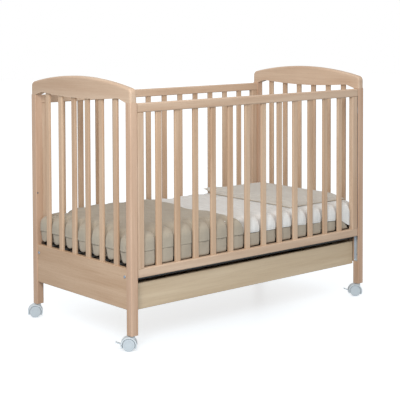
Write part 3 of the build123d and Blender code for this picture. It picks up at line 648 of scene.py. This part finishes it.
# at the lip both skins meet a little above the sheet
meet = (1 - lip)[..., None] * on_top[..., None]
middle = np.stack([outer[..., 0], outer[..., 1], np.full_like(z, bed_crown + 0.0058)], -1)
outer = outer * (1 - meet) + (middle + [0, 0, least]) * meet
inner = inner * (1 - meet) + middle * meet
duvet = closed_piece("quilted_duvet", outer, inner, taupe_cotton)
duvet_outer, duvet_out = outer, out

# %% Place the duvet
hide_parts("duvet")
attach(duvet, "crib")
print("duvet spans", [round(v, 3) for v in duvet.dimensions])

# %% [markdown]
# ## The white sheet
# A thin cotton sheet covers the head half. It tucks under the duvet's turned
# edge, hangs down both sides and over the head, and at the corners its spare
# cloth drops lower, in upright folds. It is modelled as one skin and given its
# thickness by Solidify, because a single skin is what a sheet is.

# %% Sheet places
sheet_x, sheet_y = bed_x + 0.0022, duvet_y - 0.0016
sheet_top = bed_crown + 0.0022
sheet_thick = 0.0012
under_duvet = -0.128


def sheet_edge(y, z):
    return np.full_like(np.asarray(y, float) + 0 * np.asarray(z, float), under_duvet)


def sheet_hem(x, y):
    """The hem is nearly level along the sides and drops at the two corners."""
    x = np.asarray(x)
    corner = ease(x, 0.505, 0.560) * ease(np.abs(y), 0.20, 0.27)
    wave = 0.0012 * ripple(x / 0.05, y / 0.05, 21)
    return hem_z - 0.0015 + wave - 0.008 * ease(x, 0.20, 0.50) - 0.030 * corner


points, out, tilt, fall = cover_grid(1, sheet_x, sheet_y, 0.024, sheet_top, sheet_hem, 0.026, sheet_edge,
                                     along=240, flat_rows=44)
x, y, z = points[..., 0], points[..., 1], points[..., 2]
run = np.where(np.abs(out[..., 1]) > np.abs(out[..., 0]), x, y)
on_top = np.sin(tilt) ** 2
pillow_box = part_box("pillow")
bare = 1 - ease(x, pillow_box[0].x - 0.05, pillow_box[0].x - 0.01)
tucked = 1 - ease(x - duvet_edge(y, z), 0.006, 0.035)
wrinkle = 0.0010 + 0.0030 * np.abs(ripple(x / 0.060, y / 0.16, 31))
wrinkle += 0.0012 * np.abs(ripple(x / 0.026 + y / 0.09, y / 0.05, 32))
from_fold = x - duvet_edge(y, z) - 0.045 - 0.012 * ripple(y / 0.12, 0.5, 33, 1)
fold = 0.0030 * np.exp(-(from_fold / 0.010) ** 2)
lying = (wrinkle + fold) * bare * (1 - tucked)
hang = 0.0017 * ripple(run / 0.022, z / 0.16, 34) + 0.0007 * ripple(run / 0.008, z / 0.05, 35)
corner = ease(x, 0.51, 0.57) * ease(np.abs(y), 0.22, 0.28)
draped = hang * (1 - tucked) - 0.0060 * tucked - 0.0010 + 0.0022 * corner
shift = on_top * lying + (1 - on_top) * draped - 0.080 * tucked * on_top * (1 - on_top)
# under the duvet the sheet sits deeper behind the slats
deeper = (sheet_side[0] + 0.010 * tucked, sheet_side[1])
skin = points + out * (shift + swelled(points, out, tilt, fall, deeper, sheet_end))[..., None]
print("sheet grid", skin.shape[:2])


# %% Build the sheet
def one_skin(name, grid, finish):
    """A single skin of cloth from one grid of points."""
    rows, cols = grid.shape[:2]
    return finish_piece(name, grid, squares(np.arange(rows * cols).reshape(rows, cols)), finish)


sheet = one_skin("white_top_sheet", skin, white_cotton)
area = sum(face.area for face in sheet.data.polygons)
up = sum(face.normal.z * face.area for face in sheet.data.polygons)
if up < 0:
    sheet.data.flip_normals()
thickness = sheet.modifiers.new("thickness", "SOLIDIFY")
thickness.thickness, thickness.offset = sheet_thick, -1.0
print("sheet cloth", round(area, 3), "square metres, facing", "up" if up > 0 else "down, turned over")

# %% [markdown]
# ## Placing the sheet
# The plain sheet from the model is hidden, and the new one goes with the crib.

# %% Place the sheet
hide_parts("top_sheet")
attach(sheet, "crib")

# %% [markdown]
# ## The mattress in its fitted sheet
# The mattress is a foam block under a taupe fitted sheet. Only a band of it
# shows, below the hems, where it swells between the slats and turns under at
# the bottom with a soft rounded edge. It is a stack of rounded rectangles, from the
# middle of the underside, out and up the sides, and back in over the top.

# %% Shape the mattress
def ring(inset, corner, long=440, wide=190, turn=10):
    """One closed rounded rectangle in plan, with outward directions."""
    half_x, half_y = bed_x - 0.0005 - inset, bed_y - inset
    r = max(corner * (1 - inset / bed_y), 0)
    parts = []
    quarter = np.linspace(0, math.pi / 2, turn)
    for sx, sy in ((1, -1), (1, 1), (-1, 1), (-1, -1)):
        a = quarter if sx * sy > 0 else quarter[::-1]
        cx, cy = sx * (half_x - r), sy * (half_y - r)
        nx, ny = sx * np.cos(a), sy * np.sin(a)
        parts.append(np.stack([cx + r * nx, cy + r * ny, nx, ny], -1))
    out = []
    for k, count in zip(range(4), (wide, long, wide, long)):
        corner_part, after = parts[k], parts[(k + 1) % 4]
        out.append(corner_part)
        t = np.linspace(0, 1, count + 2)[1:-1, None]
        line = corner_part[-1] * (1 - t) + after[0] * t
        line[:, 2:] = corner_part[-1, 2:]
        out.append(line)
    return np.concatenate(out)


# %% Raise the rings and let the sides swell
over_round, under_cover, fine_band = 0.020, 0.0020, 0.042
flat_rings = [(d, bed_low, "under") for d in np.linspace(bed_y, 0.05, 8)]
rising = [(0.0, bed_low + fine_band * (k / 14) ** 1.6, "side") for k in range(15)]
rising += [(0.0, h, "side") for h in np.linspace(bed_low + fine_band, bed_crown - over_round, 16)[1:]]
over = [(over_round * (1 - math.cos(a)), bed_crown - over_round * (1 - math.sin(a)), "over")
        for a in np.linspace(0, math.pi / 2, 7)[1:]]
over += [(d, bed_crown, "over") for d in np.linspace(0.035, bed_y, 8)]
frame_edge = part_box("base_frame")[1]
places = []
for inset, height, kind in flat_rings + rising + over:
    px, py, nx, ny = ring(inset, 0.016).T
    ends = nx**2
    push, sag = np.zeros_like(px), np.zeros_like(px)
    if kind != "under":
        # the edge underneath is rounded, at the ends a little more than at the sides
        radius = 0.012 + 0.002 * ends
        up = np.minimum(height - bed_low, radius)
        tuck = radius - np.sqrt(radius**2 - (radius - up) ** 2)
        head = ease(px, -0.10, -0.04)
        side_full = ease(height, bed_low - 0.004, bed_low + 0.010)
        end_full = ease(height, bed_low - 0.014, bed_low + 0.020)
        full = (1 - ends) * side_full + ends * end_full
        # just inside whichever cover lies above it
        across = bow_side(px)
        along = bow_end(py, end_flank + 0.020 * (1 - ease(height, bed_low + 0.004, bed_low + 0.044)))
        deep = (duvet_y - duvet_side[0]) * (1 - head) + (sheet_y - sheet_side[0] - sheet_thick) * head
        wide = (duvet_y + duvet_side[1]) * (1 - head) + (sheet_y + sheet_side[1] - sheet_thick) * head
        end_deep = (duvet_x - duvet_end[0]) * (1 - head) + (sheet_x - sheet_end[0] - sheet_thick) * head
        end_wide = (duvet_x + duvet_end[1]) * (1 - head) + (sheet_x + sheet_end[1] - sheet_thick) * head
        side_swell = deep + (wide - deep) * across - bed_y
        end_swell = end_deep + (end_wide - end_deep) * along - bed_x
        swell = (1 - ends) * side_swell + ends * end_swell
        run = px * (1 - ends) + py * ends
        crease = 0.0007 * ripple(run / 0.022, height / 0.05, 41)
        crease += 0.0010 * ripple(run / 0.045, height / 0.03, 42)
        seen = (swell - under_cover + crease) * full - tuck
        hidden = -0.0145 - 0.010 * (1 - (across * (1 - ends) + along * ends))
        hem = hem_z * (1 - head) + sheet_hem(px, py) * head
        cover = ease(height, hem - 0.0015, hem + 0.0050)
        push = seen * (1 - cover) + hidden * cover
        # past the steel frame the lower edge sags over its rim
        past_side = np.abs(py + ny * push) - frame_edge.y
        past_end = np.abs(px + nx * push) - frame_edge.x
        outside = (1 - ends) * past_side + ends * past_end - 0.0006
        lowest = 1 - ease(height, bed_low + 0.004, bed_low + 0.032 + 0.008 * ends)
        sag = (0.0145 - 0.0065 * ends) * np.clip(outside / 0.005, 0, 1) * lowest
    places.append(np.stack([px + nx * push, py + ny * push, height - sag], -1))
places = np.array(places)
rows, cols = places.shape[:2]
index = np.arange(rows * cols).reshape(rows, cols)
# each ring closes on its first point
faces = squares(np.concatenate([index, index[:, :1]], 1))
mattress = finish_piece("mattress_in_fitted_sheet", places, faces, fitted_cotton)

# %% Place the mattress
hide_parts("mattress")
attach(mattress, "crib")
print("mattress spans", [round(v, 3) for v in mattress.dimensions])

# %% [markdown]
# ## The pillow
# A pillow starts as two flat panels sewn round the edge. Blown up, its edges
# pucker and pull in between four pointed corners. That is exactly what a short
# cloth simulation does with two flat grids that share a rim, so the pillow is
# simulated: no gravity, a little pressure, and a cap on how far a point moves.

# %% Sew two panels together
pillow_lo, pillow_hi = pillow_box
pillow_mid = Vector([(a + b) / 2 for a, b in zip(pillow_lo, pillow_hi)])
pillow_len, pillow_wide = pillow_hi.x - pillow_lo.x + 0.006, pillow_hi.y - pillow_lo.y
pillow_mid.x -= 0.006
rim_z = sheet_top + 0.0024
cells_x, cells_y = 66, 96
gx = np.linspace(-0.5, 0.5, cells_x + 1)
gy = np.linspace(-0.5, 0.5, cells_y + 1)
grid_x, grid_y = np.meshgrid(gx, gy, indexing="ij")
inside = np.minimum(0.5 - np.abs(grid_x), 0.5 - np.abs(grid_y))
puff = 0.015 * ease(inside, 0.0, 0.13) + 0.0004 * ripple(grid_x * 9, grid_y * 12, 51)
panels = []
for side in (1, -1):
    panels.append(np.stack([pillow_mid.x + grid_x * pillow_len, pillow_mid.y + grid_y * pillow_wide,
                            rim_z + side * np.where(inside > 1e-6, puff, 0)], -1))
index = np.arange(grid_x.size).reshape(grid_x.shape)
quads = np.stack([index[:-1, :-1], index[1:, :-1], index[1:, 1:], index[:-1, 1:]], -1).reshape(-1, 4)
faces = np.concatenate([quads, quads[:, ::-1] + grid_x.size])
pillow = finish_piece("pillow_in_its_case", np.array(panels), faces, pillow_cotton, 0.00001)
rim_at = [(i, 0) for i in range(cells_x)] + [(cells_x, j) for j in range(cells_y)]
rim_at += [(i, cells_y) for i in range(cells_x, 0, -1)] + [(0, j) for j in range(cells_y, 0, -1)]
rim_start = np.array([panels[0][i, j] for i, j in rim_at])
flat_places = np.array([v.co for v in pillow.data.vertices])
rim = [int(np.argmin(((flat_places - p) ** 2).sum(1))) for p in rim_start]
print("rim of", len(set(rim)), "points")


# %% Blow it up
def blow_up(piece, pressure, frames, cap):
    """Inflate a closed piece with Cloth, keep the shape, remove the modifier."""
    before = np.array([v.co for v in piece.data.vertices])
    cloth = piece.modifiers.new("inflate", "CLOTH")
    settings = cloth.settings
    settings.quality = 6
    settings.mass = 0.25
    settings.tension_stiffness = 18
    settings.compression_stiffness = 18
    settings.shear_stiffness = 6
    settings.bending_stiffness = 0.35
    settings.use_pressure = True
    settings.uniform_pressure_force = pressure
    settings.effector_weights.gravity = 0
    cloth.point_cache.frame_start, cloth.point_cache.frame_end = 1, frames
    scene = bpy.context.scene
    for at in range(1, frames + 1):
        scene.frame_set(at)
    depsgraph = bpy.context.evaluated_depsgraph_get()
    made = piece.evaluated_get(depsgraph)
    after = np.array([v.co for v in made.data.vertices])
    piece.modifiers.remove(cloth)
    scene.frame_set(1)
    move = after - before
    size = np.linalg.norm(move, axis=1, keepdims=True)
    move = move * np.minimum(1, cap / np.maximum(size, 1e-9))
    piece.data.vertices.foreach_set("co", (before + move).ravel())
    piece.data.update()
    return float(size.max())


print("the pillow swelled by up to", round(blow_up(pillow, 2.4, 18, 0.012), 4), "m")

# %% [markdown]
# ## Resting the pillow
# The bottom lies on the sheet, so it is pressed flat there, and the top keeps
# its crown. Points below the sheet's surface are eased up to it.

# %% Press the pillow's underside flat
at = np.array([v.co for v in pillow.data.vertices])
# the ear at the back of the foot side is pushed up by the slats
ear = ease(pillow_lo.x + 0.10 - at[:, 0], 0.0, 0.10) * ease(at[:, 1] - pillow_hi.y + 0.09, 0.0, 0.09)
at[:, 2] += 0.018 * ear
rest_z = sheet_top + 0.0012
soften = 0.004
low = at[:, 2] < rest_z + soften
t = (at[low, 2] - rest_z) / soften
at[low, 2] = rest_z + soften * np.exp(np.minimum(t - 1, 0))
ceiling = pillow_hi.z + 0.006
high = at[:, 2] > ceiling - 0.006
at[high, 2] = ceiling - 0.006 * np.exp(-(at[high, 2] - ceiling + 0.006) / 0.006)
pillow.data.vertices.foreach_set("co", at.ravel())
pillow.data.update()
rim_line = at[rim]
smoother = pillow.modifiers.new("smoother", "SUBSURF")
smoother.levels = smoother.render_levels = 1
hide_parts("pillow")
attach(pillow, "crib")
print("pillow from", at.min(0).round(3).tolist(), "to", at.max(0).round(3).tolist())

# %% [markdown]
# ## Piping and stitches
# A corded piping runs round the pillow's seam, and the hems are held by rows of
# small stitches. Both follow a path, which is what Geometry Nodes are for: the
# piping sweeps a circle along the path, and a row of stitches puts one small
# bar at even steps along it, turned to lie along the path.

# %% A path as a curve
def path(name, places, closed=False):
    curve = bpy.data.curves.new(name, "CURVE")
    curve.dimensions = "3D"
    line = curve.splines.new("POLY")
    line.points.add(len(places) - 1)
    line.points.foreach_set("co", np.concatenate([places, np.ones((len(places), 1))], 1).ravel())
    line.use_cyclic_u = closed
    return linked(name, curve)


def set_input(modifier, tree, name, value):
    """Set a modifier's input by its socket's identifier."""
    item = next(i for i in tree.interface.items_tree if i.name == name and i.in_out == "INPUT")
    modifier[item.identifier] = value


def to_piece(holder, tree, name, values):
    """Run a node tree on a path and keep the result as a plain mesh."""
    modifier = holder.modifiers.new("made", "NODES")
    modifier.node_group = tree
    for key, value in values.items():
        set_input(modifier, tree, key, value)
    made = bpy.data.meshes.new_from_object(holder.evaluated_get(bpy.context.evaluated_depsgraph_get()))
    made.name = name
    holder.modifiers.remove(modifier)
    bpy.data.objects.remove(holder)
    print(name, len(made.polygons), "faces")
    return linked(name, made)


# %% The two node trees
def new_tree(name, sizes):
    tree = bpy.data.node_groups.new(name, "GeometryNodeTree")
    tree.interface.new_socket("Path", in_out="INPUT", socket_type="NodeSocketGeometry")
    for label, kind, value in sizes:
        socket = tree.interface.new_socket(label, in_out="INPUT", socket_type=kind)
        if value is not None:
            socket.default_value = value
    tree.interface.new_socket("Result", in_out="OUTPUT", socket_type="NodeSocketGeometry")
    return tree, tree.nodes.new("NodeGroupInput"), tree.nodes.new("NodeGroupOutput")


def join(tree, source, out, target, into):
    tree.links.new(source.outputs[out], target.inputs[into])


def give_finish(tree, given, source, out, result):
    """The end of a tree: real geometry with the given finish."""
    realize = tree.nodes.new("GeometryNodeRealizeInstances")
    finish = tree.nodes.new("GeometryNodeSetMaterial")
    join(tree, source, out, realize, "Geometry")
    join(tree, realize, "Geometry", finish, "Geometry")
    join(tree, given, "Finish", finish, "Material")
    join(tree, finish, "Geometry", result, "Result")
    return tree


def make_piping_tree():
    tree, given, result = new_tree("piping", [
        ("Radius", "NodeSocketFloat", 0.0016), ("Finish", "NodeSocketMaterial", None)])
    ring_shape = tree.nodes.new("GeometryNodeCurvePrimitiveCircle")
    ring_shape.inputs["Resolution"].default_value = 8
    sweep = tree.nodes.new("GeometryNodeCurveToMesh")
    smooth = tree.nodes.new("GeometryNodeSetShadeSmooth")
    join(tree, given, "Path", sweep, "Curve")
    join(tree, given, "Radius", ring_shape, "Radius")
    join(tree, ring_shape, "Curve", sweep, "Profile Curve")
    join(tree, sweep, "Mesh", smooth, "Geometry")
    return give_finish(tree, given, smooth, "Geometry", result)


def make_stitch_tree():
    tree, given, result = new_tree("stitches", [
        ("Step", "NodeSocketFloat", 0.0055), ("Length", "NodeSocketFloat", 0.0034),
        ("Thickness", "NodeSocketFloat", 0.0004), ("Finish", "NodeSocketMaterial", None)])
    points = tree.nodes.new("GeometryNodeCurveToPoints")
    points.mode = "LENGTH"
    bar = tree.nodes.new("GeometryNodeMeshCylinder")
    bar.inputs["Vertices"].default_value = 6
    lay = tree.nodes.new("GeometryNodeInstanceOnPoints")
    join(tree, given, "Path", points, "Curve")
    join(tree, given, "Step", points, "Length")
    join(tree, given, "Thickness", bar, "Radius")
    join(tree, given, "Length", bar, "Depth")
    join(tree, points, "Points", lay, "Points")
    join(tree, points, "Rotation", lay, "Rotation")
    join(tree, bar, "Mesh", lay, "Instance")
    return give_finish(tree, given, lay, "Instances", result)


piping_tree, stitch_tree = make_piping_tree(), make_stitch_tree()
print("trees:", piping_tree.name, "and", stitch_tree.name)

# %% Sew them on
cord, thread = {"Radius": 0.0011, "Finish": piping_cotton}, {"Finish": thread_cotton}
# the hems are sewn three rows of points above their edge, just proud of the cloth
hem_row, proud = -4, 0.0003
duvet_line = path("duvet hem path", duvet_outer[hem_row] + duvet_out[hem_row] * proud)
sheet_line = path("sheet hem path", skin[hem_row] + out[hem_row] * proud)
piping = to_piece(path("piping path", rim_line, True), piping_tree, "pillow_piping", cord)
duvet_stitches = to_piece(duvet_line, stitch_tree, "duvet_hem_stitches", thread)
sheet_stitches = to_piece(sheet_line, stitch_tree, "sheet_hem_stitches", thread)
sewn = ((piping, "pillow_cloth"), (duvet_stitches, "duvet_cloth"), (sheet_stitches, "sheet_cloth"))
for piece, slot in sewn:
    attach(piece, "crib")

# %% [markdown]
# ## The studio
# The crib stands on a white floor with soft light from all round, one large lamp
# near the viewer and a weak one overhead. To the eye the floor looks like paper
# lit from within, so the shadows under the crib stay faint, while the crib gets
# little more than the light that the floor reflects.

# %% Floor
floor_mesh = bpy.data.meshes.new("floor")
reach, below = 15, -0.0004
floor_corners = [(x * reach, y * reach, below) for x, y in ((-1, -1), (1, -1), (1, 1), (-1, 1))]
floor_mesh.from_pydata(floor_corners, [], [(0, 1, 2, 3)])
floor = linked("floor", floor_mesh)
paper, tree, shader = start_finish("white paper", Base_Color=(0.44, 0.50, 0.55, 1), Roughness=0.3,
                                   Specular_IOR_Level=0.25)
shader.inputs["Emission Color"].default_value = (1, 1, 1, 1)
seen = tree.nodes.new("ShaderNodeLightPath").outputs["Is Camera Ray"]
tree.links.new(number(tree, "MULTIPLY_ADD", seen, 0.66, 0.02), shader.inputs["Emission Strength"])
floor_mesh.materials.append(paper)
floor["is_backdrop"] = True

# %% Light
world = bpy.data.worlds.new("soft studio")
bpy.context.scene.world = world
world.use_nodes = True
tree = world.node_tree
back = tree.nodes["Background"]
back.inputs["Color"].default_value = (1, 1, 1, 1)
seen = tree.nodes.new("ShaderNodeLightPath").outputs["Is Camera Ray"]
tree.links.new(number(tree, "MULTIPLY_ADD", seen, 0.34, 0.66), back.inputs["Strength"])


def lamp(name, place, target, size, power):
    light = bpy.data.lights.new(name, "AREA")
    light.shape, light.size, light.energy = "DISK", size, power
    holder = linked(name, light)
    holder.location = place
    holder.rotation_euler = (Vector(target) - Vector(place)).to_track_quat("-Z", "Y").to_euler()


lamp("large lamp", (-2.45, -2.2, 2.2), (-0.2, -0.1, 0.45), 1.7, 74)
lamp("high lamp", (0.2, -0.2, 3.0), (0.0, 0.0, 0.4), 2.0, 7)
bpy.context.scene.view_settings.view_transform = "Standard"
print("two lamps and a soft surround")

# %% [markdown]
# ## The viewer
# The viewer stands off the front left corner, a little above the top rail, far
# enough away that the crib looks nearly straight.

# %% Camera
eye = bpy.data.cameras.new("eye")
eye.sensor_width, eye.lens, eye.shift_y = 36.0, 101.56, -0.3354
eye.clip_end = 60
viewer = linked("eye", eye)
viewer.location = (-3.0469, -3.5146, 1.1978)
turn, tip, lean = [math.radians(angle) for angle in (-40.768, 90 - 2.448, -0.201)]
turned = Matrix.Rotation(turn, 3, "Z") @ Matrix.Rotation(tip, 3, "X") @ Matrix.Rotation(lean, 3, "Z")
viewer.rotation_euler = turned.to_euler()
bpy.context.scene.camera = viewer

# %% Measure and finish
bpy.context.view_layer.update()
shown_box = [list(corner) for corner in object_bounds()]
shown, planned = [[round(b - a, 3) for a, b in zip(*box)] for box in (shown_box, cad_box)]
print("whole model", shown, "and as planned", planned)
